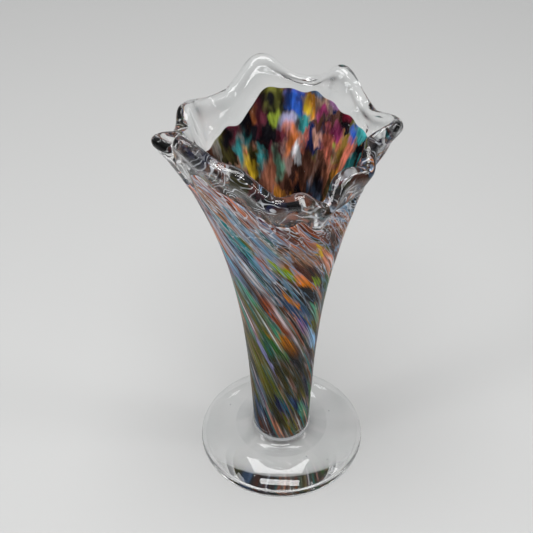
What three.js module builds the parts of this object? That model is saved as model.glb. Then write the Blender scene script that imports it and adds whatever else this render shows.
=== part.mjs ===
// Hand blown art glass vase: a clear domed foot, a slim coloured stem and a pinched, ruffled mouth.
// Units are millimetres and +Z is up. The origin is the centre of the foot's resting face.
// Sections are drawn with height 0 at the underside of the foot's rim, REST_DROP above that face.
// The vase is hot-worked glass with no fastener or moving piece. Its pieces are the gathers and bits
// of glass that the glassblower adds one after another.
import * as THREE from "three";

// ---- Driving dimensions ----
const FOOT_RADIUS = 46;
const FOOT_EDGE = 4.5;
const FOOT_CENTRE = 11.4;
const DOME_POWER = 1.7;
const REST_RADIUS = 20;
const REST_DROP = 3.8;
const UNDER_POWER = 1.5;

const COLLAR_RADIUS = 26;
const COLLAR_TOP = 18;
const COLLAR_WALL = 0.7;
const COLLAR_SKIRT = 0.4;

const GAP = 0.3;
const CASING = 2.6;
const COLOUR = 0.8;
const INNER = 1.2;
const WALL = CASING + COLOUR + INNER + 2 * GAP;

const CORNER = 3.5;
const VESSEL_BOTTOM = FOOT_CENTRE - CORNER;
const CASING_FLOOR = 2.9;
const CAVITY_FLOOR = 32;
const BOWL_DEPTH = 3;

// Outer wall of the vessel before it is ruffled.
const STEM_RADIUS = 15;
const STEM_TAPER = 8;
const FLARE = 31;
const FLARE_POWER = 3.5;
const RIM_HEIGHT = 213;
const RIM_RADIUS = STEM_RADIUS + STEM_TAPER + FLARE;
const COLOUR_EDGE = 199;
const BEAD_START = RIM_HEIGHT - WALL / 2;

// The ruffle starts part of the way up and grows towards the rim.
const RUFFLE_START = 140;
const RUFFLE_POWER = 2;

// The mouth sits slightly off the stem's axis, as free-hand work does.
const LEAN_START = 60;
const LEAN_X = -1;
const LEAN_Y = 3;
const LEAN_POWER = 1.5;

// Where the rim was pinched, in turn round the mouth: azimuth in degrees, reach from the axis, lift
// above the mean rim, and edge, the level where the colour stops. The dip that follows each pinched
// point has its own reach, lift and edge.
const PINCHES = [
  { azimuth: 0, reach: 56, lift: 8, edge: 201.5, dip: { reach: 50, lift: 2, edge: 204.5 } },
  { azimuth: 50, reach: 50, lift: 13, edge: 203.5, dip: { reach: 52, lift: 0, edge: 208.5 } },
  { azimuth: 100, reach: 56, lift: 9, edge: 202, dip: { reach: 51, lift: -4, edge: 198.5 } },
  { azimuth: 155, reach: 52, lift: 2, edge: 191.5, dip: { reach: 50, lift: -2, edge: 191.5 } },
  { azimuth: 185, reach: 59, lift: 3, edge: 191.5, dip: { reach: 49, lift: 0, edge: 197.5 } },
  { azimuth: 215, reach: 55, lift: 22, edge: 201.5, dip: { reach: 48, lift: 11, edge: 199.5 } },
  { azimuth: 270, reach: 49, lift: 0, edge: 196.5, dip: { reach: 47, lift: -1, edge: 196 } },
  { azimuth: 295, reach: 51, lift: -5, edge: 192.5, dip: { reach: 45, lift: 1, edge: 194.5 } },
  { azimuth: 330, reach: 48, lift: 0, edge: 197.5, dip: { reach: 46, lift: 4, edge: 199.5 } },
];
const PINCH_SHARPNESS = 1.4;

const GLASS_OPACITY = 0.35;

// ---- Mesh resolution ----
const SEGMENTS = 72;
const WALL_LEVELS = [18, 42, 75, 105, 130, 150, 165, 177, 187, 194];
const LIP_LEVELS = [203, 207];
const LIP_STEPS = 6;
const CORNER_STEPS = 3;

// ---- Shape of the wall ----
function wallRadius(height) {
  const rise = height / RIM_HEIGHT;
  return STEM_RADIUS + STEM_TAPER * rise + FLARE * rise ** FLARE_POWER;
}

function wallSlope(height) {
  const rise = height / RIM_HEIGHT;
  return (STEM_TAPER + FLARE * FLARE_POWER * rise ** (FLARE_POWER - 1)) / RIM_HEIGHT;
}

// A point inside the wall: level is the height on the outer face, depth is the way in from that face.
function wallPoint(level, depth) {
  return { level, depth };
}

function solidPoint(radius, height) {
  return { radius, height };
}

function wallPosition(level, depth) {
  const slope = wallSlope(level);
  const length = Math.hypot(1, slope);
  return {
    radius: wallRadius(level) - depth / length,
    height: level + (depth * slope) / length,
  };
}

function cornerPoints(radius, height, corner, turn) {
  const points = [];
  for (let step = 0; step <= CORNER_STEPS; step += 1) {
    const share = turn === "up" ? step / CORNER_STEPS : 1 - step / CORNER_STEPS;
    const angle = (share * Math.PI) / 2;
    const outward = radius - corner + corner * Math.sin(angle);
    points.push(solidPoint(outward, height + corner - corner * Math.cos(angle)));
  }
  return points;
}

// ---- Shape of the mouth ----
// 1 at a pinched point and 0 at a dip. share runs from 0 at the point to 1 at the dip.
function pinchWeight(share) {
  return (0.5 + 0.5 * Math.cos(Math.PI * share)) ** PINCH_SHARPNESS;
}

function rimAt(azimuth) {
  for (let index = 0; index < PINCHES.length; index += 1) {
    const from = PINCHES[index];
    const to = PINCHES[(index + 1) % PINCHES.length];
    const span = (to.azimuth - from.azimuth + 360) % 360;
    const along = ((azimuth - from.azimuth + 360) % 360) / span;
    if (along < 1) {
      const near = along < 0.5 ? from : to;
      const weight = pinchWeight(along < 0.5 ? 2 * along : 2 - 2 * along);
      return {
        reach: THREE.MathUtils.lerp(from.dip.reach, near.reach, weight),
        lift: THREE.MathUtils.lerp(from.dip.lift, near.lift, weight),
        edge: THREE.MathUtils.lerp(from.dip.edge, near.edge, weight),
      };
    }
  }
  throw new Error(`no pinch covers ${azimuth} degrees`);
}

// Sections are drawn with the colour stopping at COLOUR_EDGE. This slides the levels between the
// start of the ruffle and the rim's bead so that it stops at the edge wanted on that side.
function slideLevel(level, edge) {
  if (level <= RUFFLE_START || level >= BEAD_START) {
    return level;
  }
  if (level <= COLOUR_EDGE) {
    return RUFFLE_START + ((level - RUFFLE_START) * (edge - RUFFLE_START)) / (COLOUR_EDGE - RUFFLE_START);
  }
  return BEAD_START - ((BEAD_START - level) * (BEAD_START - edge)) / (BEAD_START - COLOUR_EDGE);
}

function placePoint(point, azimuth) {
  const angle = THREE.MathUtils.degToRad(azimuth);
  if (point.depth === undefined) {
    return [point.radius * Math.cos(angle), point.radius * Math.sin(angle), point.height];
  }
  const rim = rimAt(azimuth);
  const level = slideLevel(point.level, rim.edge);
  const wall = wallPosition(level, point.depth);
  const rise = Math.max(0, (level - RUFFLE_START) / (RIM_HEIGHT - RUFFLE_START));
  const ruffle = rise ** RUFFLE_POWER;
  const lean = Math.max(0, (level - LEAN_START) / (RIM_HEIGHT - LEAN_START)) ** LEAN_POWER;
  const radius = wall.radius + ruffle * (rim.reach - RIM_RADIUS);
  return [
    radius * Math.cos(angle) + LEAN_X * lean,
    radius * Math.sin(angle) + LEAN_Y * lean,
    wall.height + ruffle * rim.lift,
  ];
}

// ---- Sweeping a section round the axis into one closed body ----
// A section that starts and ends on the axis makes a solid; any other section is joined end to start.
function sweepSection(section) {
  const positions = [];
  const rings = section.map((point) => {
    const first = positions.length / 3;
    const onAxis = point.radius === 0;
    const count = onAxis ? 1 : SEGMENTS;
    for (let step = 0; step < count; step += 1) {
      positions.push(...placePoint(point, (step * 360) / SEGMENTS));
    }
    return { first, onAxis };
  });
  const vertex = (ring, step) => ring.first + (ring.onAxis ? 0 : step % SEGMENTS);
  const solid = rings[0].onAxis;
  const joins = solid ? rings.length - 1 : rings.length;
  const index = [];
  for (let join = 0; join < joins; join += 1) {
    const lower = rings[join];
    const upper = rings[(join + 1) % rings.length];
    for (let step = 0; step < SEGMENTS; step += 1) {
      const a = vertex(lower, step);
      const b = vertex(lower, step + 1);
      const c = vertex(upper, step + 1);
      const d = vertex(upper, step);
      if (!lower.onAxis) {
        index.push(a, b, c);
      }
      if (!upper.onAxis) {
        index.push(a, c, d);
      }
    }
  }
  const geometry = new THREE.BufferGeometry();
  geometry.setAttribute("position", new THREE.Float32BufferAttribute(positions, 3));
  geometry.setIndex(index);
  geometry.computeVertexNormals();
  return geometry;
}

function glassMaterial(colour) {
  return new THREE.MeshStandardMaterial({
    color: colour,
    roughness: 0.05,
    metalness: 0,
    transparent: true,
    opacity: GLASS_OPACITY,
  });
}

function namedMesh(name, section, material) {
  const mesh = new THREE.Mesh(sweepSection(section), material);
  mesh.name = name;
  mesh.position.z = REST_DROP;
  return mesh;
}

// ---- Sub-parts ----
// Clear foot, domed above and below. It stands on the flat ground under its middle, and its top is
// pressed up round the vessel's bottom.
function buildFoot() {
  const edgeRadius = FOOT_EDGE / 2;
  const flank = FOOT_RADIUS - edgeRadius;
  const section = [solidPoint(0, -REST_DROP), solidPoint(REST_RADIUS, -REST_DROP)];
  const underSteps = 6;
  for (let step = 1; step < underSteps; step += 1) {
    const share = step / underSteps;
    const radius = REST_RADIUS + (flank - REST_RADIUS) * share;
    section.push(solidPoint(radius, -REST_DROP * (1 - share ** UNDER_POWER)));
  }
  const edgeSteps = 8;
  for (let step = 0; step <= edgeSteps; step += 1) {
    const angle = -Math.PI / 2 + (step * Math.PI) / edgeSteps;
    section.push(solidPoint(flank + edgeRadius * Math.cos(angle), edgeRadius + edgeRadius * Math.sin(angle)));
  }
  const domeSteps = 6;
  for (let step = 1; step <= domeSteps; step += 1) {
    const share = 1 - step / domeSteps;
    const radius = COLLAR_RADIUS + (flank - COLLAR_RADIUS) * share;
    section.push(solidPoint(radius, FOOT_EDGE + (FOOT_CENTRE - FOOT_EDGE) * (1 - share ** DOME_POWER)));
  }
  const seat = wallRadius(FOOT_CENTRE) + GAP;
  section.push(...cornerPoints(seat, VESSEL_BOTTOM - GAP, CORNER + GAP, "down"));
  section.push(solidPoint(0, VESSEL_BOTTOM - GAP));
  return namedMesh("foot", section, glassMaterial(0xe9eeee));
}

// Clear join bead: a ring of glass round the stem, swept out to the foot in a fillet.
function buildCollar() {
  const seat = wallRadius(COLLAR_TOP) + GAP;
  const topOuter = seat + COLLAR_WALL;
  const bottom = FOOT_CENTRE + GAP;
  const skirt = bottom + COLLAR_SKIRT;
  const fillet = COLLAR_RADIUS - topOuter;
  const section = [solidPoint(seat, bottom), solidPoint(COLLAR_RADIUS, bottom)];
  const filletSteps = 5;
  for (let step = 0; step <= filletSteps; step += 1) {
    const angle = (step * Math.PI) / 2 / filletSteps;
    const outward = COLLAR_RADIUS - fillet * Math.sin(angle);
    const rise = (COLLAR_TOP - skirt) * (1 - Math.cos(angle));
    section.push(solidPoint(outward, skirt + rise));
  }
  section.push(solidPoint(seat, COLLAR_TOP));
  return namedMesh("collar", section, glassMaterial(0xe4ebeb));
}

// One of the vessel's nested cups, between two depths in the wall. Its floor is a solid bottom.
function cupSection(outerDepth, innerDepth, outerFloor, innerFloor, outerCorner, innerCorner) {
  const outerLevels = WALL_LEVELS.filter((level) => level > outerFloor + outerCorner);
  const innerLevels = WALL_LEVELS.filter((level) => level > innerFloor + innerCorner);
  const outerRadius = wallPosition(outerFloor + outerCorner, outerDepth).radius;
  const innerRadius = wallPosition(innerFloor + innerCorner, innerDepth).radius;
  const top = COLOUR_EDGE - GAP;
  return [
    solidPoint(0, outerFloor),
    ...cornerPoints(outerRadius, outerFloor, outerCorner, "up"),
    ...outerLevels.map((level) => wallPoint(level, outerDepth)),
    wallPoint(top, outerDepth),
    wallPoint(top, innerDepth),
    ...innerLevels.reverse().map((level) => wallPoint(level, innerDepth)),
    ...cornerPoints(innerRadius, innerFloor, innerCorner, "down"),
    solidPoint(0, innerFloor),
  ];
}

// Clear outer casing: the last gather, over the colour.
function buildCasing() {
  const colourFloor = VESSEL_BOTTOM + CASING_FLOOR;
  const section = cupSection(0, CASING, VESSEL_BOTTOM, colourFloor, CORNER, CORNER);
  return namedMesh("outer_casing", section, glassMaterial(0xdfe6e8));
}

// Colour layer: chips of coloured glass melted into one opaque skin and twisted with the stem.
function buildColour() {
  const floor = VESSEL_BOTTOM + CASING_FLOOR + GAP;
  const section = cupSection(CASING + GAP, CASING + GAP + COLOUR, floor, floor + COLOUR, CORNER, CORNER);
  const material = new THREE.MeshStandardMaterial({ color: 0x5b4a45, roughness: 0.35, metalness: 0 });
  return namedMesh("colour_layer", section, material);
}

// Clear inner layer: the first gather, blown out into the skin that lines the cavity.
function buildInner() {
  const levels = WALL_LEVELS.filter((level) => level > CAVITY_FLOOR + GAP);
  const section = [
    wallPoint(CAVITY_FLOOR + GAP, WALL - INNER),
    ...levels.map((level) => wallPoint(level, WALL - INNER)),
    wallPoint(COLOUR_EDGE - GAP, WALL - INNER),
    wallPoint(COLOUR_EDGE - GAP, WALL),
    ...[...levels].reverse().map((level) => wallPoint(level, WALL)),
    wallPoint(CAVITY_FLOOR + GAP, WALL),
  ];
  return namedMesh("inner_layer", section, glassMaterial(0xe2e8ea));
}

// The same gather's thick bottom, which fills the stem below the cavity. Its top is a shallow bowl.
function buildInnerFloor() {
  const floor = VESSEL_BOTTOM + CASING_FLOOR + COLOUR + 2 * GAP;
  const depth = WALL - INNER;
  const section = [
    solidPoint(0, floor),
    ...cornerPoints(wallPosition(floor + CORNER, depth).radius, floor, CORNER, "up"),
    wallPoint(CAVITY_FLOOR, depth),
    wallPoint(CAVITY_FLOOR, WALL),
  ];
  const bowl = wallPosition(CAVITY_FLOOR, WALL).radius;
  const bowlSteps = 4;
  for (let step = 1; step <= bowlSteps; step += 1) {
    const share = 1 - step / bowlSteps;
    section.push(solidPoint(bowl * share, CAVITY_FLOOR - BOWL_DEPTH * (1 - share * share)));
  }
  return namedMesh("inner_floor", section, glassMaterial(0xe2e8ea));
}

// Clear lip: the band above the colour, drawn out to the pinched points and fire-polished round.
function buildLip() {
  const bottom = COLOUR_EDGE;
  const bead = WALL / 2;
  const section = [wallPoint(bottom, 0), ...LIP_LEVELS.map((level) => wallPoint(level, 0))];
  for (let step = 0; step <= LIP_STEPS; step += 1) {
    const angle = (step * Math.PI) / LIP_STEPS;
    section.push(wallPoint(RIM_HEIGHT - bead + bead * Math.sin(angle), bead - bead * Math.cos(angle)));
  }
  section.push(...[...LIP_LEVELS].reverse().map((level) => wallPoint(level, WALL)));
  section.push(wallPoint(bottom, WALL));
  return namedMesh("lip", section, glassMaterial(0xe8eff0));
}

const vase = new THREE.Group();
vase.name = "art_glass_vase";
vase.add(buildFoot());
vase.add(buildCollar());
vase.add(buildCasing());
vase.add(buildColour());
vase.add(buildInner());
vase.add(buildInnerFloor());
vase.add(buildLip());

export default vase;
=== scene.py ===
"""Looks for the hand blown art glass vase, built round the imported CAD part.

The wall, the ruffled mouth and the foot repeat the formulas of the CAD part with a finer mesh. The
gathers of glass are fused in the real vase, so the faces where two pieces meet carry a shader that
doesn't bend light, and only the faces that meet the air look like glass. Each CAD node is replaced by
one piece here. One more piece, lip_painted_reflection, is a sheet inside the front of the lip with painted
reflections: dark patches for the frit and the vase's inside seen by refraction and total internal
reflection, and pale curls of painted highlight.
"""

import math

import bmesh
import bpy
import numpy as np
from mathutils import Matrix, Vector


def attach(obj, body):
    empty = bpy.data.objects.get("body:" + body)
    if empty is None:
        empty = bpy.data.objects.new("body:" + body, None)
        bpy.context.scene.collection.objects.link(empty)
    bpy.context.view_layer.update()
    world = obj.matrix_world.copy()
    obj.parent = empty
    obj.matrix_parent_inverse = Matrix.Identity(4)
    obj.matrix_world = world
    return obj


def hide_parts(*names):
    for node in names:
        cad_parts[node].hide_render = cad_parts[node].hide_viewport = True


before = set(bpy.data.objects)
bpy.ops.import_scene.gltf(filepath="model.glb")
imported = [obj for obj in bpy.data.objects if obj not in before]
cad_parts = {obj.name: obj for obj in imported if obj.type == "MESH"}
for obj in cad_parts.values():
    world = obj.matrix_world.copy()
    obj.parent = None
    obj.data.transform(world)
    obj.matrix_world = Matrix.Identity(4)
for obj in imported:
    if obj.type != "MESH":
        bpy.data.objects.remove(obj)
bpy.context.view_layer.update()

# ---- Dimensions in millimetres, as in the CAD part ----
FOOT_RADIUS = 46.0
FOOT_EDGE = 4.5
FOOT_CENTRE = 11.4
DOME_POWER = 1.7
REST_RADIUS = 20.0
REST_DROP = 3.8
UNDER_POWER = 1.5
COLLAR_RADIUS = 26.0
COLLAR_TOP = 18.0
WALL = 5.2
CASING = 2.75
COLOUR_IN = 3.85
CORNER = 3.5
VESSEL_BOTTOM = FOOT_CENTRE - CORNER
COLOUR_FLOOR = 10.9
COLOUR_FLOOR_IN = 12.0
CAVITY_FLOOR = 32.0
BOWL_DEPTH = 3.0
STEM_RADIUS = 15.0
STEM_TAPER = 8.0
FLARE = 31.0
FLARE_POWER = 3.5
RIM_HEIGHT = 213.0
RIM_RADIUS = STEM_RADIUS + STEM_TAPER + FLARE
COLOUR_EDGE = 199.0
BEAD_START = RIM_HEIGHT - WALL / 2
RUFFLE_START = 140.0
LEAN_START = 60.0
LEAN = (-1.0, 3.0)
LEAN_POWER = 1.5

# Pinched points: azimuth in degrees, reach, lift and level of the colour's edge there, then the
# reach, lift and colour level of the dip that follows.
PINCHES = (
    (0, 56, 8, 201.5, 50, 2, 204.5),
    (50, 50, 13, 203.5, 52, 0, 208.5),
    (100, 56, 9, 202, 51, -4, 198.5),
    (155, 52, 2, 191.5, 50, -2, 191.5),
    (185, 59, 3, 191.5, 49, 0, 197.5),
    (215, 55, 22, 201.5, 48, 11, 199.5),
    (270, 49, 0, 196.5, 47, -1, 196),
    (295, 51, -5, 192.5, 45, 1, 194.5),
    (330, 48, 0, 197.5, 46, 4, 199.5),
)
PINCH_SHARPNESS = 1.4

# ---- Dimensions in millimetres of what only this script makes ----
HAIR = 0.03  # air left between two pieces' touching faces, so that neither hides the other
BEAD_SWELL = 1.4  # how far the rim's bead stands out on each side
BEAD_WIDTH = 5.0
OUTER_CREASE = 0.4
INNER_CREASE = 1.3
CREASE_WIDTH = 5.0  # in degrees
WAVE_START = 150.0  # levels where the worked surface's waves and the lip's finer swirls set in
SWIRL_START = 190.0
COLOUR_DROP = 2.6  # mean distance of the colour below its clear lip
COLOUR_WANDER = 1.1
FEATHER = 6.0  # height over which the colour's edge takes up its uneven line
# Depths in the wall, and start above the colour's edge, of the sheet that carries the painted reflections
# in the lip.
REFLECTION_SHEET_DEPTHS = (2.4, 2.7)
REFLECTION_SHEET_START = 0.5

MM = 0.001
SEGMENTS = 288
CORNER_STEPS = 8
ARC_STEPS = 24
UNDER_STEPS = 30
DOME_STEPS = 40
LIP_ROWS = 12
BOWL_STEPS = 16
SHARP_ANGLE = 50.0

# ---- Camera ----
CAMERA_DISTANCE = 0.703
CAMERA_ELEVATION = 51.5
CAMERA_PITCH = 43.6
CAMERA_YAW = 0.71
LENS = 81.05
SENSOR = 36.0

# ---- Floor, in metres ----
FLOOR_HALF = 15.0
FLOOR_DROP = 0.0002  # keeps the floor just clear of the foot's flat face


# ---- Shape of the wall and mouth, in millimetres ----
def wall_radius(height):
    rise = height / RIM_HEIGHT
    return STEM_RADIUS + STEM_TAPER * rise + FLARE * rise**FLARE_POWER


def wall_slope(height):
    rise = height / RIM_HEIGHT
    return (STEM_TAPER + FLARE * FLARE_POWER * rise ** (FLARE_POWER - 1)) / RIM_HEIGHT


def wall_position(level, depth):
    """Radius and height of a point that deep in the wall, before the ruffle."""
    slope = wall_slope(level)
    length = np.hypot(1.0, slope)
    return wall_radius(level) - depth / length, level + depth * slope / length


def pinch_weight(share):
    return (0.5 + 0.5 * np.cos(np.pi * share)) ** PINCH_SHARPNESS


def rim_curve(azimuth):
    """Reach and lift of the rim, and level of the colour's edge, at each azimuth in degrees."""
    reach = np.zeros_like(azimuth)
    lift = np.zeros_like(azimuth)
    edge = np.zeros_like(azimuth)
    for index, pinch in enumerate(PINCHES):
        following = PINCHES[(index + 1) % len(PINCHES)]
        span = (following[0] - pinch[0]) % 360
        along = ((azimuth - pinch[0]) % 360) / span
        inside = along < 1
        first = along < 0.5
        weight = np.where(first, pinch_weight(2 * along), pinch_weight(2 - 2 * along))
        for curve, near, dip in ((reach, 1, 4), (lift, 2, 5), (edge, 3, 6)):
            peak = np.where(first, pinch[near], following[near])
            curve[inside] = (pinch[dip] + weight * (peak - pinch[dip]))[inside]
    return reach, lift, edge


def pinch_line(azimuth, width):
    """1 on each pinched point, falling off over width degrees."""
    line = np.zeros_like(azimuth)
    for pinch in PINCHES:
        away = (azimuth - pinch[0] + 180) % 360 - 180
        line = np.maximum(line, np.exp(-((away / width) ** 2)))
    return line


def slide_level(level, edge):
    """Slides the upper levels so that COLOUR_EDGE lands on the edge wanted at that azimuth."""
    low = RUFFLE_START + (level - RUFFLE_START) * (edge - RUFFLE_START) / (COLOUR_EDGE - RUFFLE_START)
    high = BEAD_START - (BEAD_START - level) * (BEAD_START - edge) / (BEAD_START - COLOUR_EDGE)
    slid = np.where(level <= COLOUR_EDGE, low, high)
    return np.where((level <= RUFFLE_START) | (level >= BEAD_START), level, slid)


def place_wall(level, depth, azimuth):
    """Points of the ruffled, leaning wall, in millimetres."""
    reach, lift, edge = rim_curve(azimuth)
    level = slide_level(level, edge)
    radius, height = wall_position(level, depth)
    ruffle = np.clip((level - RUFFLE_START) / (RIM_HEIGHT - RUFFLE_START), 0, None) ** 2
    lean = np.clip((level - LEAN_START) / (RIM_HEIGHT - LEAN_START), 0, None) ** LEAN_POWER
    out = radius + ruffle * (reach - RIM_RADIUS)
    angle = np.radians(azimuth)
    x = out * np.cos(angle) + LEAN[0] * lean
    y = out * np.sin(angle) + LEAN[1] * lean
    z = height + ruffle * lift
    return np.stack(np.broadcast_arrays(x, y, z), axis=-1)


# ---- The hand-worked surface, in millimetres ----
# Height, turns round the wall, rise per mm and phase of each wave.
OUTER_WAVES = ((0.30, 7, 0.11, 0.4), (0.26, 11, -0.17, 1.9), (0.20, 17, 0.29, 4.1), (0.14, 26, 0.21, 2.7))
INNER_WAVES = ((0.30, 6, -0.13, 3.3), (0.24, 13, 0.19, 0.8), (0.18, 19, -0.31, 5.2))
OUTER_SWIRLS = ((0.26, 19, 0.38, 1.1), (0.20, 27, -0.52, 2.9), (0.10, 41, 0.35, 0.2))
INNER_SWIRLS = ((0.22, 23, -0.33, 0.7), (0.16, 33, 0.47, 4.4))


def waves(azimuth, level, parts):
    """Sum of slow waves round and up the wall."""
    angle = np.radians(azimuth)
    return sum(size * np.sin(turns * angle + rise * level + phase) for size, turns, rise, phase in parts)


def skin_depth(level, share, azimuth):
    """Depth in the wall of the outer skin (share 0), the inner skin (share 1) and the rim between.

    The skins are almost true low down, wavy where the mouth was worked, and part at the rim's bead.
    """
    worked = 0.12 + 0.88 * np.clip((level - WAVE_START) / 40, 0, 1)
    bead = np.exp(-(((level - RIM_HEIGHT + 2) / BEAD_WIDTH) ** 2))
    crease = pinch_line(azimuth, CREASE_WIDTH) * np.clip((level - 175) / 38, 0, 1)
    front = 0.5 - 0.5 * np.sin(np.radians(azimuth))
    swirled = front * np.clip((level - SWIRL_START) / 8, 0, 1) * (1 - 0.8 * bead)
    outer = worked * waves(azimuth, level, OUTER_WAVES) - BEAD_SWELL * bead - OUTER_CREASE * crease
    inner = WALL + worked * waves(azimuth, level, INNER_WAVES) + BEAD_SWELL * bead - INNER_CREASE * crease
    outer += swirled * waves(azimuth, level, OUTER_SWIRLS)
    inner += swirled * waves(azimuth, level, INNER_SWIRLS)
    return outer + (inner - outer) * share


# Seeds, the small bubbles of air caught in the foot: azimuth in degrees, distance from the axis, height
# and radius.
SEEDS = (
    (233, 41, 2.4, 0.45),
    (246, 36, 3.2, 0.35),
    (268, 31, 5.0, 0.30),
    (301, 27, 6.5, 0.55),
    (318, 34, 4.1, 0.30),
    (152, 33, 3.6, 0.40),
    (95, 38, 2.9, 0.35),
    (20, 29, 5.8, 0.40),
)


# ---- Building a mesh from a section swept round the axis ----
# Sections are drawn with height 0 at the underside of the foot's rim, REST_DROP above the table.
# A section is a list of points: ("solid", radius, height), ("wall", level, depth) inside the wall,
# or ("skin", level, share) on its surface. A wall point's level may be a function of azimuth.
def place_point(point, azimuth):
    kind, first, second = point
    if kind == "skin":
        level = np.full_like(azimuth, first)
        return place_wall(level, skin_depth(level, second, azimuth), azimuth)
    if kind == "wall":
        level = first(azimuth) if callable(first) else np.full_like(azimuth, first)
        return place_wall(level, second, azimuth)
    angle = np.radians(azimuth)
    return np.stack([first * np.cos(angle), first * np.sin(angle), np.full_like(angle, second)], axis=-1)


def sweep(name, section, slots, materials):
    """slots gives the material slot of the span after each point.

    A section that starts on the axis also ends on it; any other is joined end to start.
    """
    azimuth = np.arange(SEGMENTS) * 360.0 / SEGMENTS
    blocks = []
    rings = []
    total = 0
    for point in section:
        on_axis = point[0] == "solid" and point[1] == 0
        block = place_point(point, azimuth[:1] if on_axis else azimuth)
        rings.append((total, on_axis))
        blocks.append(block)
        total += len(block)
    vertices = (np.concatenate(blocks) + (0, 0, REST_DROP)) * MM
    faces = []
    face_slots = []
    solid = rings[0][1]
    joins = len(rings) - 1 if solid else len(rings)
    for join in range(joins):
        low, low_axis = rings[join]
        high, high_axis = rings[(join + 1) % len(rings)]
        for step in range(SEGMENTS):
            after = (step + 1) % SEGMENTS
            if low_axis:
                faces.append((low, high + after, high + step))
            elif high_axis:
                faces.append((low + step, low + after, high))
            else:
                faces.append((low + step, low + after, high + after, high + step))
            face_slots.append(slots[join])
    mesh = bpy.data.meshes.new(name)
    mesh.from_pydata(vertices.tolist(), [], faces)
    for material in materials:
        mesh.materials.append(material)
    mesh.polygons.foreach_set("material_index", face_slots)
    mesh.polygons.foreach_set("use_smooth", [True] * len(faces))
    mesh.update()
    obj = bpy.data.objects.new(name, mesh)
    bpy.context.scene.collection.objects.link(obj)
    mesh.set_sharp_from_angle(angle=math.radians(SHARP_ANGLE))
    return obj


def corner(radius, height, upward):
    """The rounded corner between a flat bottom at that height and a wall of that radius."""
    points = []
    for step in range(CORNER_STEPS + 1):
        share = step / CORNER_STEPS if upward else 1 - step / CORNER_STEPS
        angle = share * math.pi / 2
        outward = radius - CORNER + CORNER * math.sin(angle)
        points.append(("solid", outward, height + CORNER - CORNER * math.cos(angle)))
    return points


def levels_between(low, high, step=1.6):
    """Levels up the wall, closer together towards the mouth."""
    count = max(2, int((high - low) / step))
    share = np.linspace(0, 1, count + 1)
    return [float(low + (high - low) * (1.2 * s - 0.2 * s * s)) for s in share]


def wall_run(low, high, depth):
    return [("wall", level, depth) for level in levels_between(low, high)]


def skin_run(low, high, share):
    return [("skin", level, share) for level in levels_between(low, high)]


# ---- Materials ----
# Colours of the chips of glass, as sRGB from 0 to 255.
CHIPS = {
    "black": (14, 13, 18),
    "navy": (24, 30, 66),
    "cobalt": (38, 78, 170),
    "slate": (66, 84, 108),
    "pale_blue": (152, 182, 208),
    "lavender": (150, 148, 182),
    "white": (226, 229, 235),
    "teal": (48, 128, 130),
    "sea_green": (92, 142, 118),
    "green": (52, 98, 52),
    "lime": (132, 152, 50),
    "olive": (88, 88, 34),
    "dark_olive": (50, 47, 22),
    "yellow": (206, 170, 40),
    "amber": (196, 126, 40),
    "orange": (206, 112, 58),
    "coral": (198, 104, 84),
    "salmon": (206, 150, 130),
    "terracotta": (146, 88, 66),
    "tan": (168, 132, 112),
    "brown": (78, 48, 38),
    "maroon": (84, 32, 44),
    "crimson": (132, 26, 50),
    "magenta": (156, 56, 104),
    "mauve": (128, 88, 128),
}


def linear(srgb):
    parts = [value / 255 for value in srgb]
    return tuple(p / 12.92 if p <= 0.04045 else ((p + 0.055) / 1.055) ** 2.4 for p in parts) + (1.0,)


def chip(name):
    return linear(CHIPS[name])


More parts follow.
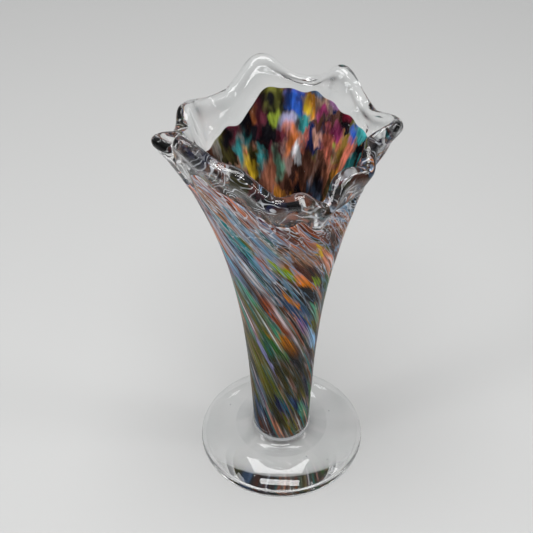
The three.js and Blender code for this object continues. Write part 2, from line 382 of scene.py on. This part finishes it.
class Nodes:
    """A new material's node tree, with one short call for each kind of node used here."""

    def __init__(self, name):
        self.material = bpy.data.materials.new(name)
        self.material.use_nodes = True
        self.tree = self.material.node_tree
        self.tree.nodes.clear()

    def add(self, kind, inputs=None, **settings):
        node = self.tree.nodes.new(kind)
        for key, value in settings.items():
            setattr(node, key, value)
        for key, value in (inputs or {}).items():
            self.feed(node.inputs[key], value)
        return node

    def feed(self, socket, value):
        if isinstance(value, bpy.types.NodeSocket):
            self.tree.links.new(value, socket)
        else:
            socket.default_value = value

    def math(self, operation, first, second=0.0, third=0.0):
        node = self.add("ShaderNodeMath", {0: first, 1: second, 2: third}, operation=operation)
        return node.outputs[0]

    def vector(self, operation, first, second=(0, 0, 0), output=0):
        node = self.add("ShaderNodeVectorMath", {0: first, 1: second}, operation=operation)
        return node.outputs[output]

    def length(self, vector):
        node = self.add("ShaderNodeVectorMath", {0: vector}, operation="LENGTH")
        return node.outputs["Value"]

    def noise(self, vector, scale, detail=2.0, output="Fac"):
        inputs = {"Vector": vector, "Scale": scale, "Detail": detail}
        return self.add("ShaderNodeTexNoise", inputs).outputs[output]

    def cells(self, vector):
        """A number from 0 to 1 for each cell, the same all over the cell."""
        inputs = {"Vector": vector, "Scale": 1.0}
        colour = self.add("ShaderNodeTexVoronoi", inputs, feature="F1").outputs["Color"]
        return self.add("ShaderNodeSeparateColor", {0: colour}).outputs[0]

    def borders(self, vector):
        """Distance to the nearest border between two cells."""
        inputs = {"Vector": vector, "Scale": 1.0}
        return self.add("ShaderNodeTexVoronoi", inputs, feature="DISTANCE_TO_EDGE").outputs["Distance"]

    def spread(self, value, low, high, to_low=0.0, to_high=1.0):
        inputs = {"Value": value, "From Min": low, "From Max": high, "To Min": to_low, "To Max": to_high}
        node = self.add("ShaderNodeMapRange", inputs, interpolation_type="SMOOTHSTEP")
        return node.outputs["Result"]

    def mix(self, factor, first, second, blend="MIX"):
        node = self.add("ShaderNodeMix", data_type="RGBA", blend_type=blend)
        self.feed(node.inputs["Factor"], factor)
        self.feed(node.inputs[6], first)
        self.feed(node.inputs[7], second)
        return node.outputs[2]

    def palette(self, value, names):
        """One even band of colour for each name, with a narrow blend between neighbours."""
        node = self.add("ShaderNodeValToRGB", {0: value})
        stops = node.color_ramp.elements
        count = len(names)
        positions = []
        for index, name in enumerate(names):
            positions.append(((index + 0.12) / count, name))
            positions.append(((index + 0.88) / count, name))
        stops[0].position, stops[0].color = positions[0][0], chip(positions[0][1])
        stops[1].position, stops[1].color = positions[-1][0], chip(positions[-1][1])
        for position, name in positions[1:-1]:
            stop = stops.new(position)
            stop.color = chip(name)
        return node.outputs["Color"]

    def shade(self, colour, amount):
        grey = self.add("ShaderNodeCombineXYZ", {0: amount, 1: amount, 2: amount})
        return self.mix(1.0, colour, grey.outputs[0], "MULTIPLY")

    def surface(self, shader):
        out = self.add("ShaderNodeOutputMaterial")
        self.tree.links.new(shader, out.inputs["Surface"])
        return self.material


def clear_glass(name, tint, gloss):
    """Clear glass. Light on its way to a surface behind it passes straight through.

    The tint comes and goes in faint cords, as in glass gathered and worked by hand; the collar's darker
    grey tint is painted shade. gloss is the share of the surface that mirrors its surroundings as new glass
    does.
    """
    nodes = Nodes(name)
    space, _, _ = flow_space(nodes, OUTSIDE_TWIST)
    cord = nodes.noise(nodes.vector("MULTIPLY", space, (2.5, 2.5, 0.05)), 1.0, 1.0)
    colour = nodes.mix(nodes.spread(cord, 0.35, 0.65), (1, 1, 1, 1), (*tint, 1))
    glass = nodes.add("ShaderNodeBsdfPrincipled", {"Base Color": colour})
    glass.inputs["Roughness"].default_value = 0.0
    glass.inputs["IOR"].default_value = 1.5
    glass.inputs["Transmission Weight"].default_value = 1.0
    bend = nodes.add("ShaderNodeBsdfRefraction", {"Color": colour, "Roughness": 0.0, "IOR": 1.5})
    worn = nodes.add("ShaderNodeMixShader", {0: gloss})
    nodes.feed(worn.inputs[1], bend.outputs["BSDF"])
    nodes.feed(worn.inputs[2], glass.outputs["BSDF"])
    clear = nodes.add("ShaderNodeBsdfTransparent", {"Color": (0.99, 0.99, 0.99, 1)})
    path = nodes.add("ShaderNodeLightPath")
    shader = worn.outputs["Shader"]
    for ray in ("Is Shadow Ray", "Is Diffuse Ray"):
        mix = nodes.add("ShaderNodeMixShader", {0: path.outputs[ray]})
        nodes.feed(mix.inputs[1], shader)
        nodes.feed(mix.inputs[2], clear.outputs["BSDF"])
        shader = mix.outputs["Shader"]
    return nodes.surface(shader)


def fused_face():
    """Where two gathers meet: the glass is one piece there, so light goes straight on."""
    nodes = Nodes("fused_glass")
    clear = nodes.add("ShaderNodeBsdfTransparent", {"Color": (1, 1, 1, 1)})
    return nodes.surface(clear.outputs["BSDF"])


def flow_space(nodes, twist):
    """(cos, sin of the azimuth, height in mm), with the azimuth turned by twist radians per mm.

    Also gives the height, and the cosine of the azimuth before it is turned.
    """
    place = nodes.add("ShaderNodeTexCoord").outputs["Object"]
    split = nodes.add("ShaderNodeSeparateXYZ", {0: place})
    height = nodes.math("MULTIPLY_ADD", split.outputs["Z"], 1000.0, -REST_DROP)
    around = nodes.vector("NORMALIZE", nodes.vector("MULTIPLY", place, (1, 1, 0)))
    turned = nodes.add("ShaderNodeVectorRotate", {"Vector": around}, rotation_type="Z_AXIS")
    nodes.feed(turned.inputs["Angle"], nodes.math("MULTIPLY", height, twist))
    lift = nodes.add("ShaderNodeCombineXYZ", {2: height})
    side = nodes.add("ShaderNodeSeparateXYZ", {0: around}).outputs["X"]
    return nodes.vector("ADD", turned.outputs[0], lift.outputs[0]), height, side


def warped(nodes, vector, scale, amount):
    """vector moved about by a noise that is scale times finer than it."""
    noise = nodes.noise(vector, scale, 2.0, "Color")
    shift = nodes.vector("SUBTRACT", noise, (0.5, 0.5, 0.5))
    return nodes.vector("ADD", vector, nodes.vector("MULTIPLY", shift, (amount, amount, amount)))


def kneaded(nodes, space, turn, slide):
    """space pushed about in soft lumps, by up to half of turn radians and half of slide mm."""
    noise = nodes.noise(nodes.vector("MULTIPLY", space, (5.0, 5.0, 0.09)), 1.0, 2.0, "Color")
    shift = nodes.vector("SUBTRACT", noise, (0.5, 0.5, 0.5))
    return nodes.vector("ADD", space, nodes.vector("MULTIPLY", shift, (turn, turn, slide)))


def melted(nodes, space, blur, names):
    """Cells of the colours named, softened by mixing in two lookups a short way off."""
    colour = nodes.palette(nodes.cells(space), names)
    for share, offset in ((0.5, (blur, -blur, blur)), (0.33, (-blur, blur, -blur))):
        moved = nodes.vector("ADD", space, offset)
        colour = nodes.mix(share, colour, nodes.palette(nodes.cells(moved), names))
    return colour


def brushed(nodes, space, count, reach):
    """space slid up and down in narrow strands, so that the chips end like brush strokes."""
    strands = nodes.noise(nodes.vector("MULTIPLY", space, (count, count, 0.02)), 1.0, 2.0)
    slide = nodes.math("MULTIPLY", nodes.math("SUBTRACT", strands, 0.5), reach)
    return nodes.vector("ADD", space, nodes.add("ShaderNodeCombineXYZ", {2: slide}).outputs[0])


def lay_chips(nodes, base, space, chips, twist, soft):
    """Melts single chips over base: name, azimuth and height, half width in degrees, half length in mm."""
    colour = base
    for name, azimuth, height, width, length in chips:
        angle = math.radians(azimuth) + twist * height
        across = 1 / math.radians(width)
        centre = (math.cos(angle), math.sin(angle), height)
        away = nodes.vector("SUBTRACT", space, centre)
        scaled = nodes.vector("MULTIPLY", away, (across, across, 1 / length))
        mask = nodes.spread(nodes.length(scaled), 1.15, soft)
        colour = nodes.mix(mask, colour, chip(name))
    return colour


OUTSIDE_TWIST = 0.02
OUTSIDE_CHIPS = (
    ("teal", 226, 178, 9, 16),
    ("white", 214, 188, 4, 14),
    ("navy", 231, 163, 6, 10),
    ("brown", 235, 146, 14, 16),
    ("lavender", 222, 134, 8, 16),
    ("sea_green", 228, 128, 12, 14),
    ("olive", 233, 118, 14, 14),
    ("terracotta", 268, 116, 12, 18),
    ("amber", 281, 133, 6, 9),
    ("lime", 272, 157, 7, 9),
    ("orange", 258, 157, 5, 14),
    ("black", 265, 152, 3, 10),
    ("tan", 292, 168, 18, 12),
    ("yellow", 307, 166, 6, 5),
    ("lime", 314, 141, 6, 5),
    ("black", 306, 131, 14, 11),
    ("cobalt", 305, 107, 8, 9),
    ("pale_blue", 326, 92, 12, 12),
    ("olive", 222, 82, 26, 16),
    ("green", 258, 90, 20, 16),
    ("dark_olive", 282, 66, 30, 22),
    ("lavender", 238, 88, 5, 20),
    ("slate", 216, 35, 14, 7),
    ("navy", 272, 41, 14, 8),
    ("brown", 226, 20, 16, 6),
    ("tan", 262, 24, 5, 9),
    ("olive", 298, 22, 18, 10),
    ("sea_green", 324, 30, 12, 12),
)
INSIDE_CHIPS = (
    ("black", 99, 202, 7, 9),
    ("olive", 96, 211, 7, 4),
    ("black", 86, 210, 6, 4),
    ("cobalt", 80, 202, 8, 7),
    ("slate", 70, 209, 9, 4),
    ("mauve", 54, 210, 8, 4),
    ("crimson", 42, 207, 7, 5),
    ("lime", 94, 195, 4, 6),
    ("orange", 107, 197, 4, 6),
    ("magenta", 60, 200, 6, 4),
    ("magenta", 47, 196, 7, 5),
    ("salmon", 60, 191, 5, 7),
    ("lavender", 86, 193, 6, 7),
    ("orange", 83, 184, 7, 10),
    ("teal", 121, 184, 7, 11),
    ("yellow", 117, 173, 5, 10),
    ("maroon", 126, 195, 8, 8),
    ("black", 133, 192, 7, 7),
    ("terracotta", 101, 168, 12, 11),
    ("brown", 66, 174, 12, 9),
    ("black", 74, 158, 12, 9),
    ("black", 52, 165, 10, 9),
    ("amber", 36, 175, 6, 10),
    ("lime", 44, 188, 4, 5),
    ("cobalt", 31, 201, 4, 7),
    ("sea_green", 92, 172, 6, 8),
    ("yellow", 73, 200, 5, 5),
    ("black", 112, 190, 5, 7),
    ("white", 78, 178, 4, 8),
)
# Colours of the smaller chips between those, by where they lie. A name may come more than once.
UPPER_LEFT = ("teal", "terracotta", "tan", "navy", "maroon", "tan", "black", "salmon", "pale_blue", "olive")
UPPER_RIGHT = (
    "tan",
    "terracotta",
    "brown",
    "salmon",
    "olive",
    "terracotta",
    "black",
    "tan",
    "amber",
    "salmon",
)
MIDDLE = ("olive", "terracotta", "brown", "amber", "green", "olive", "slate", "sea_green", "black", "tan")
LOWER = ("dark_olive", "olive", "brown", "black", "green", "navy", "olive", "brown", "dark_olive", "slate")
INSIDE = (
    "black",
    "terracotta",
    "teal",
    "brown",
    "orange",
    "olive",
    "black",
    "navy",
    "tan",
    "maroon",
    "coral",
    "slate",
    "black",
    "amber",
    "brown",
    "dark_olive",
)
SLIVERS = ("black", "salmon", "brown", "tan", "olive", "navy", "white", "terracotta", "teal", "dark_olive")


def frit_shader(nodes, colour, strength, depth):
    """The skin of melted chips: it has glass on both sides, so it has no gloss of its own."""
    skin = nodes.add("ShaderNodeBsdfPrincipled")
    colour = nodes.add("ShaderNodeHueSaturation", {"Color": colour, "Saturation": strength}).outputs[0]
    colour = nodes.add("ShaderNodeGamma", {"Color": colour, "Gamma": depth}).outputs[0]
    skin.inputs["Roughness"].default_value = 0.8
    skin.inputs["Specular IOR Level"].default_value = 0.0
    nodes.feed(skin.inputs["Base Color"], colour)
    return nodes.surface(skin.outputs["BSDF"])


def frit_outside():
    """Chips drawn out into long twisted streaks, with thin pale veils between them.

    Small slivers show through in patches, and a net of pale curls lies under the lip.
    """
    nodes = Nodes("frit_outside")
    space, height, side = flow_space(nodes, OUTSIDE_TWIST)
    drawn = brushed(nodes, space, 20, 34.0)
    cell_space = warped(nodes, nodes.vector("MULTIPLY", drawn, (4.0, 4.0, 0.032)), 1.5, 0.8)
    upper_left, upper_right, middle, lower = [
        melted(nodes, cell_space, 0.06, names) for names in (UPPER_LEFT, UPPER_RIGHT, MIDDLE, LOWER)
    ]
    upper = nodes.mix(nodes.spread(side, -0.25, 0.2), upper_left, upper_right)
    colour = nodes.mix(nodes.spread(height, 80.0, 105.0), lower, middle)
    colour = nodes.mix(nodes.spread(height, 130.0, 160.0), colour, upper)
    chip_space = kneaded(nodes, brushed(nodes, space, 22, 26.0), 0.3, 16.0)
    colour = lay_chips(nodes, colour, chip_space, OUTSIDE_CHIPS, OUTSIDE_TWIST, 0.7)
    sliver_space = warped(nodes, nodes.vector("MULTIPLY", drawn, (15, 15, 0.032)), 0.7, 1.1)
    sliver = nodes.cells(sliver_space)
    patch = nodes.spread(nodes.noise(nodes.vector("MULTIPLY", space, (3.0, 3.0, 0.03)), 1.0), 0.42, 0.62)
    colour = nodes.mix(nodes.math("MULTIPLY", patch, 0.55), colour, nodes.palette(sliver, SLIVERS))
    streaks = nodes.noise(nodes.vector("MULTIPLY", drawn, (26, 26, 0.03)), 1.0, 3.0)
    colour = nodes.shade(colour, nodes.spread(streaks, 0.34, 0.64, 0.3, 1.5))
    veil = nodes.spread(nodes.borders(cell_space), 0.06, 0.0)
    hair = nodes.spread(nodes.borders(sliver_space), 0.045, 0.015)
    above = nodes.spread(height, 100.0, 165.0, 0.15, 0.95)
    hair_share = nodes.math("MULTIPLY", nodes.math("MULTIPLY", hair, patch), above)
    colour = nodes.mix(hair_share, colour, chip("white"))
    veil_share = nodes.math("MULTIPLY", veil, nodes.math("MULTIPLY", above, 0.75))
    colour = nodes.mix(veil_share, colour, chip("pale_blue"))
    curl_space = warped(nodes, nodes.vector("MULTIPLY", space, (7, 7, 0.09)), 1.1, 2.2)
    curl = nodes.spread(nodes.borders(curl_space), 0.06, 0.01)
    worked = nodes.spread(height, 155.0, 190.0, 0.0, 0.85)
    colour = nodes.mix(nodes.math("MULTIPLY", curl, worked), colour, chip("white"))
    return frit_shader(nodes, colour, 1.24, 1.1)


def frit_inside():
    """The same chips seen from inside: rounder, brighter patches with feathered ends."""
    nodes = Nodes("frit_inside")
    space, _, _ = flow_space(nodes, 0.0)
    drawn = brushed(nodes, space, 13, 8.0)
    cell_space = warped(nodes, nodes.vector("MULTIPLY", drawn, (5.6, 5.6, 0.07)), 1.9, 1.1)
    colour = melted(nodes, cell_space, 0.1, INSIDE)
    colour = lay_chips(nodes, colour, kneaded(nodes, drawn, 0.34, 20.0), INSIDE_CHIPS, 0.0, 0.35)
    blot = nodes.noise(nodes.vector("MULTIPLY", drawn, (9, 9, 0.09)), 1.0, 2.0)
    colour = nodes.shade(colour, nodes.spread(blot, 0.36, 0.6, 0.3, 1.05))
    streaks = nodes.noise(nodes.vector("MULTIPLY", drawn, (28, 28, 0.12)), 1.0, 3.0)
    colour = nodes.shade(colour, nodes.spread(streaks, 0.32, 0.66, 0.6, 1.2))
    return frit_shader(nodes, colour, 1.0, 0.92)


# Colours of the painted reflections in the front of the lip: dark tones that stand in for the frit and the
# vase's inside as the thick lip shows them by refraction and total internal reflection.
LIP = ("black", "brown", "dark_olive", "black", "brown", "navy", "black", "maroon", "terracotta", "black")
# Painted reflections in the front of the lip, laid as for the chips: name, azimuth, height, half width and
# half length.
LIP_REFLECTION_MARKS = (
    ("black", 228, 205, 7, 7),
    ("slate", 241, 203, 5, 5),
    ("black", 250, 203, 6, 5),
    ("brown", 265, 203, 9, 6),
    ("terracotta", 276, 202, 6, 4),
    ("dark_olive", 291, 203, 6, 5),
    ("pale_blue", 301, 202, 4, 5),
    ("black", 312, 204, 6, 5),
    ("brown", 325, 205, 8, 7),
    ("slate", 338, 206, 5, 6),
)


def lip_painted_reflection():
    """Painted reflections in the front of the lip, with clear glass between them: the dark patches stand
    in for the frit and the vase's inside, seen by refraction and total internal reflection.

    The pale curls are painted highlights, the contour lines of a slow noise, in groups. Only the side
    that faces the camera gets any of it.
    """
    nodes = Nodes("lip_painted_reflection")
    space, _, _ = flow_space(nodes, 0.0)
    kneaded_space = kneaded(nodes, space, 0.25, 6.0)
    cell_space = nodes.vector("MULTIPLY", kneaded_space, (6.0, 6.0, 0.1))
    colour = lay_chips(nodes, melted(nodes, cell_space, 0.1, LIP), kneaded_space, LIP_REFLECTION_MARKS, 0.0, 0.8)
    # The pale curls are painted highlights.
    lumps = nodes.noise(nodes.vector("MULTIPLY", space, (2.6, 2.6, 0.06)), 1.0, 1.0)
    rings = nodes.math("SINE", nodes.math("MULTIPLY", lumps, 78.0))
    grouped = nodes.spread(nodes.noise(nodes.vector("MULTIPLY", space, (4.0, 4.0, 0.1)), 1.0), 0.4, 0.56)
    pale = nodes.math("MULTIPLY", nodes.spread(rings, 0.66, 0.92), grouped)
    colour = nodes.mix(nodes.math("MULTIPLY", pale, 0.9), colour, chip("white"))
    lumpy = nodes.noise(nodes.vector("MULTIPLY", kneaded_space, (4.0, 4.0, 0.04)), 1.0)
    patch = nodes.spread(lumpy, 0.4, 0.5)
    # Only the side that faces the camera gets the painted reflections; the rest of the sheet stays clear.
    facing = nodes.vector("DOT_PRODUCT", space, (0.28, -0.96, 0), "Value")
    front = nodes.spread(facing, 0.15, 0.5)
    drawn = nodes.math("MAXIMUM", nodes.math("MULTIPLY", pale, 0.8), nodes.math("MULTIPLY", patch, 0.97))
    share = nodes.math("MULTIPLY", front, drawn)
    skin = nodes.add("ShaderNodeBsdfPrincipled", {"Base Color": colour, "Roughness": 0.8})
    skin.inputs["Specular IOR Level"].default_value = 0.0
    clear = nodes.add("ShaderNodeBsdfTransparent", {"Color": (1, 1, 1, 1)})
    mix = nodes.add("ShaderNodeMixShader", {0: share})
    nodes.feed(mix.inputs[1], clear.outputs["BSDF"])
    nodes.feed(mix.inputs[2], skin.outputs["BSDF"])
    return nodes.surface(mix.outputs["Shader"])


# ---- Pieces ----
def seat(clearance):
    """The bottom of the vessel, which the foot is pressed up round."""
    base = wall_position(VESSEL_BOTTOM + CORNER, 0)[0] + clearance
    return corner(base, VESSEL_BOTTOM - clearance, False)


def build_foot(glass, fused):
    edge = FOOT_EDGE / 2
    flank = FOOT_RADIUS - edge
    section = [("solid", 0, -REST_DROP), ("solid", REST_RADIUS, -REST_DROP)]
    for step in range(1, UNDER_STEPS + 1):
        share = step / UNDER_STEPS
        radius = REST_RADIUS + (flank - REST_RADIUS) * share
        section.append(("solid", radius, -REST_DROP * (1 - share**UNDER_POWER)))
    for step in range(1, ARC_STEPS + 1):
        angle = -math.pi / 2 + step * math.pi / ARC_STEPS
        section.append(("solid", flank + edge * math.cos(angle), edge + edge * math.sin(angle)))
    for step in range(1, DOME_STEPS + 1):
        share = 1 - step / DOME_STEPS
        radius = COLLAR_RADIUS + (flank - COLLAR_RADIUS) * share
        section.append(("solid", radius, FOOT_EDGE + (FOOT_CENTRE - FOOT_EDGE) * (1 - share**DOME_POWER)))
    shown = len(section) - 1
    section.append(("solid", wall_radius(FOOT_CENTRE) + HAIR, FOOT_CENTRE))
    section += seat(HAIR)
    section.append(("solid", 0, VESSEL_BOTTOM - HAIR))
    slots = [0 if index < shown else 1 for index in range(len(section) - 1)]
    return sweep("foot_disc", section, slots, [glass, fused])


def add_seeds(piece):
    """Small round holes in a piece, with their faces turned in towards the air."""
    mesh = bmesh.new()
    mesh.from_mesh(piece.data)
    for azimuth, reach, height, radius in SEEDS:
        angle = math.radians(azimuth)
        centre = Vector((reach * math.cos(angle), reach * math.sin(angle), height + REST_DROP)) * MM
        made = bmesh.ops.create_icosphere(
            mesh, subdivisions=2, radius=radius * MM, matrix=Matrix.Translation(centre)
        )
        faces = {face for vertex in made["verts"] for face in vertex.link_faces}
        bmesh.ops.reverse_faces(mesh, faces=list(faces))
        for face in faces:
            face.smooth = True
    mesh.to_mesh(piece.data)
    mesh.free()
    return piece


def build_collar(glass, fused):
    low = FOOT_CENTRE + HAIR
    neck = wall_radius(COLLAR_TOP) + HAIR
    section = [("solid", wall_radius(low) + HAIR, low), ("solid", COLLAR_RADIUS, low)]
    for step in range(1, ARC_STEPS + 1):
        angle = step * math.pi / 2 / ARC_STEPS
        outward = COLLAR_RADIUS - (COLLAR_RADIUS - neck - 0.1) * math.sin(angle)
        section.append(("solid", outward, low + (COLLAR_TOP - low) * (1 - math.cos(angle))))
    section.append(("solid", neck, COLLAR_TOP))
    slots = [1] + [0] * ARC_STEPS + [1, 1]
    return sweep("join_bead", section, slots, [glass, fused])


def build_casing(glass, fused):
    base = wall_position(VESSEL_BOTTOM + CORNER, 0)[0]
    inside = wall_position(COLOUR_FLOOR + CORNER, CASING)[0]
    section = [("solid", 0, VESSEL_BOTTOM)] + corner(base, VESSEL_BOTTOM, True)
    covered = len(section)
    section += skin_run(COLLAR_TOP, COLOUR_EDGE, 0)
    shown = len(section) - 1
    section += reversed(wall_run(COLOUR_FLOOR + CORNER + 1, COLOUR_EDGE, CASING))
    section += corner(inside, COLOUR_FLOOR - HAIR, False)
    section.append(("solid", 0, COLOUR_FLOOR - HAIR))
    slots = [0 if covered <= index < shown else 1 for index in range(len(section) - 1)]
    return sweep("casing_gather", section, slots, [glass, fused])


def colour_edge(azimuth):
    """The colour stops a little below its clear lip, in an uneven line."""
    angle = np.radians(azimuth)
    wander = np.sin(5 * angle + 0.6) + 0.7 * np.sin(11 * angle + 2.0) + 0.4 * np.sin(23 * angle)
    return COLOUR_EDGE - COLOUR_DROP + COLOUR_WANDER * wander


def feathered(share):
    """Levels that far up from where the colour is still level to its uneven edge."""
    start = COLOUR_EDGE - FEATHER
    return lambda azimuth: start + (colour_edge(azimuth) - start) * share


def build_colour(outer, inner):
    near = CASING + HAIR
    far = COLOUR_IN - HAIR
    base = wall_position(COLOUR_FLOOR + CORNER, near)[0]
    inside = wall_position(COLOUR_FLOOR_IN + CORNER, far)[0]
    section = [("solid", 0, COLOUR_FLOOR)] + corner(base, COLOUR_FLOOR, True)
    section += wall_run(COLOUR_FLOOR + CORNER + 1, COLOUR_EDGE - FEATHER, near)
    section += [("wall", feathered(share), near) for share in (0.5, 0.9)]
    section.append(("wall", colour_edge, (near + far) / 2))
    edge = len(section) - 1
    section += [("wall", feathered(share), far) for share in (0.9, 0.5)]
    section += reversed(wall_run(COLOUR_FLOOR_IN + CORNER + 1, COLOUR_EDGE - FEATHER, far))
    section += corner(inside, COLOUR_FLOOR_IN - HAIR, False)
    section.append(("solid", 0, COLOUR_FLOOR_IN - HAIR))
    slots = [0 if index < edge else 1 for index in range(len(section) - 1)]
    return sweep("frit_skin", section, slots, [outer, inner])


def build_inner(glass, fused):
    section = wall_run(CAVITY_FLOOR, COLOUR_EDGE, COLOUR_IN)
    edge = len(section) - 1
    section += reversed(skin_run(CAVITY_FLOOR, COLOUR_EDGE, 1))
    slots = [1] * (edge + 1) + [0] * (len(section) - edge - 2) + [1]
    return sweep("first_gather", section, slots, [glass, fused])


def build_inner_floor(glass, fused):
    base = wall_position(COLOUR_FLOOR_IN + CORNER, COLOUR_IN)[0]
    section = [("solid", 0, COLOUR_FLOOR_IN)] + corner(base, COLOUR_FLOOR_IN, True)
    section += wall_run(COLOUR_FLOOR_IN + CORNER + 1, CAVITY_FLOOR - HAIR, COLOUR_IN)
    section.append(("skin", CAVITY_FLOOR - HAIR, 1))
    shown = len(section) - 1
    bowl = wall_position(CAVITY_FLOOR, WALL)[0]
    for step in range(1, BOWL_STEPS + 1):
        share = 1 - step / BOWL_STEPS
        section.append(("solid", bowl * share, CAVITY_FLOOR - BOWL_DEPTH * (1 - share * share)))
    slots = [1 if index < shown else 0 for index in range(len(section) - 1)]
    return sweep("first_gather_floor", section, slots, [glass, fused])


def build_lip(glass, fused):
    bead = WALL / 2
    start = COLOUR_EDGE + HAIR
    rows = [start + (RIM_HEIGHT - bead - start) * step / LIP_ROWS for step in range(LIP_ROWS + 1)]
    section = [("skin", level, 0) for level in rows]
    for step in range(1, ARC_STEPS):
        angle = step * math.pi / ARC_STEPS
        level = RIM_HEIGHT - bead + bead * math.sin(angle)
        section.append(("skin", level, 0.5 - 0.5 * math.cos(angle)))
    section += [("skin", level, 1) for level in reversed(rows)]
    slots = [0] * (len(section) - 1) + [1]
    return sweep("clear_lip", section, slots, [glass, fused])


def build_reflection_sheet(painted_reflection):
    """A thin skin inside the lip that carries the painted reflections and highlights."""
    low = COLOUR_EDGE + REFLECTION_SHEET_START
    near, far = REFLECTION_SHEET_DEPTHS
    section = wall_run(low, BEAD_START, near) + list(reversed(wall_run(low, BEAD_START, far)))
    return sweep("lip_painted_reflection", section, [0] * len(section), [painted_reflection])


# ---- Stage ----
def build_floor():
    mesh = bpy.data.meshes.new("floor")
    corners = [(x * FLOOR_HALF, y * FLOOR_HALF, 0) for x, y in ((-1, -1), (1, -1), (1, 1), (-1, 1))]
    mesh.from_pydata(corners, [], [(0, 1, 2, 3)])
    floor = bpy.data.objects.new("floor", mesh)
    floor.location.z = -FLOOR_DROP
    bpy.context.scene.collection.objects.link(floor)
    nodes = Nodes("floor_paper")
    paper = nodes.add("ShaderNodeBsdfPrincipled")
    paper.inputs["Base Color"].default_value = (0.5, 0.5, 0.495, 1)
    paper.inputs["Roughness"].default_value = 0.9
    paper.inputs["Specular IOR Level"].default_value = 0.1
    mesh.materials.append(nodes.surface(paper.outputs["BSDF"]))


def add_area(name, location, target, size, power):
    """A rectangular softbox that faces target: metres and watts."""
    lamp = bpy.data.lights.new(name, "AREA")
    lamp.shape = "RECTANGLE"
    lamp.size = size[0]
    lamp.size_y = size[1]
    lamp.energy = power
    obj = bpy.data.objects.new(name, lamp)
    obj.location = location
    aim = Vector(target) - Vector(location)
    obj.rotation_euler = aim.to_track_quat("-Z", "Y").to_euler()
    bpy.context.scene.collection.objects.link(obj)


def build_lights():
    add_area("top_softbox", (-0.05, -0.01, 1.0), (-0.05, -0.01, 0), (0.69, 0.4), 6.5)
    add_area("front_strip", (-0.03, -0.48, 1.1), (0, 0, 0), (0.7, 0.14), 4)
    add_area("left_strip", (-1.1, -0.5, 0.9), (0, 0, 0.15), (0.25, 0.9), 4)
    add_area("right_strip", (1.2, -0.2, 0.8), (0, 0, 0.15), (0.2, 0.8), 2.5)


def build_world():
    """A pale room that is darker at the horizon than overhead."""
    world = bpy.data.worlds.new("studio")
    world.use_nodes = True
    tree = world.node_tree
    direction = tree.nodes.new("ShaderNodeTexCoord").outputs["Generated"]
    split = tree.nodes.new("ShaderNodeSeparateXYZ")
    tree.links.new(direction, split.inputs[0])
    ramp = tree.nodes.new("ShaderNodeMapRange")
    tree.links.new(split.outputs["Z"], ramp.inputs["Value"])
    ramp.inputs["From Min"].default_value = 0.1
    ramp.inputs["From Max"].default_value = 0.8
    ramp.inputs["To Min"].default_value = 0.16
    ramp.inputs["To Max"].default_value = 0.62
    background = tree.nodes["Background"]
    background.inputs["Color"].default_value = (0.8, 0.81, 0.82, 1)
    tree.links.new(ramp.outputs["Result"], background.inputs["Strength"])
    bpy.context.scene.world = world


def build_camera():
    elevation = math.radians(CAMERA_ELEVATION)
    eye = Vector((0, -CAMERA_DISTANCE * math.cos(elevation), CAMERA_DISTANCE * math.sin(elevation)))
    eye.z += REST_DROP * MM
    tilt = Matrix.Rotation(math.radians(90 - CAMERA_PITCH), 4, "X")
    turn = Matrix.Rotation(math.radians(CAMERA_YAW), 4, "Y")
    data = bpy.data.cameras.new("camera")
    data.lens = LENS
    data.sensor_width = SENSOR
    camera = bpy.data.objects.new("camera", data)
    camera.matrix_world = Matrix.Translation(eye) @ tilt @ turn
    bpy.context.scene.collection.objects.link(camera)
    bpy.context.scene.camera = camera


def build_vase():
    """Every piece, each riding on the one body; all but lip_painted_reflection, the sheet of painted
    reflections in the lip, replace a CAD node.
    """
    fused = fused_face()
    glass = clear_glass("clear_glass", (0.94, 0.955, 0.955), 1.0)
    # The collar's grey tint is painted shade: it puts the darkness of the stem's shadow under the stem into
    # the glass.
    collar_glass = clear_glass("collar_glass", (0.78, 0.79, 0.8), 1.0)
    wall_glass = clear_glass("wall_glass", (0.96, 0.975, 0.975), 0.35)
    outer = frit_outside()
    inner = frit_inside()
    pieces = (
        (add_seeds(build_foot(glass, fused)), "foot", "foot_glass"),
        (build_collar(collar_glass, fused), "collar", "collar_glass"),
        (build_casing(wall_glass, fused), "outer_casing", "casing_glass"),
        (build_colour(outer, inner), "colour_layer", "colour_glass"),
        (build_inner(wall_glass, fused), "inner_layer", "inner_glass"),
        (build_inner_floor(glass, fused), "inner_floor", "floor_glass"),
        (build_lip(glass, fused), "lip", "lip_glass"),
    )
    # The sheet of painted reflections and painted highlights inside the front of the lip.
    painted_reflection = build_reflection_sheet(lip_painted_reflection())
    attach(painted_reflection, "root")
    for piece, node, slot in pieces:
        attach(piece, "root")
        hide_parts(node)


def set_light_paths():
    """Enough bounces for light to pass the whole glass, and no caustics."""
    scene = bpy.context.scene
    scene.view_settings.view_transform = "Standard"
    scene.cycles.transparent_max_bounces = 32
    scene.cycles.max_bounces = 16
    scene.cycles.transmission_bounces = 16
    scene.cycles.caustics_reflective = False
    scene.cycles.caustics_refractive = False


build_vase()
build_floor()
build_lights()
build_world()
build_camera()
set_light_paths()
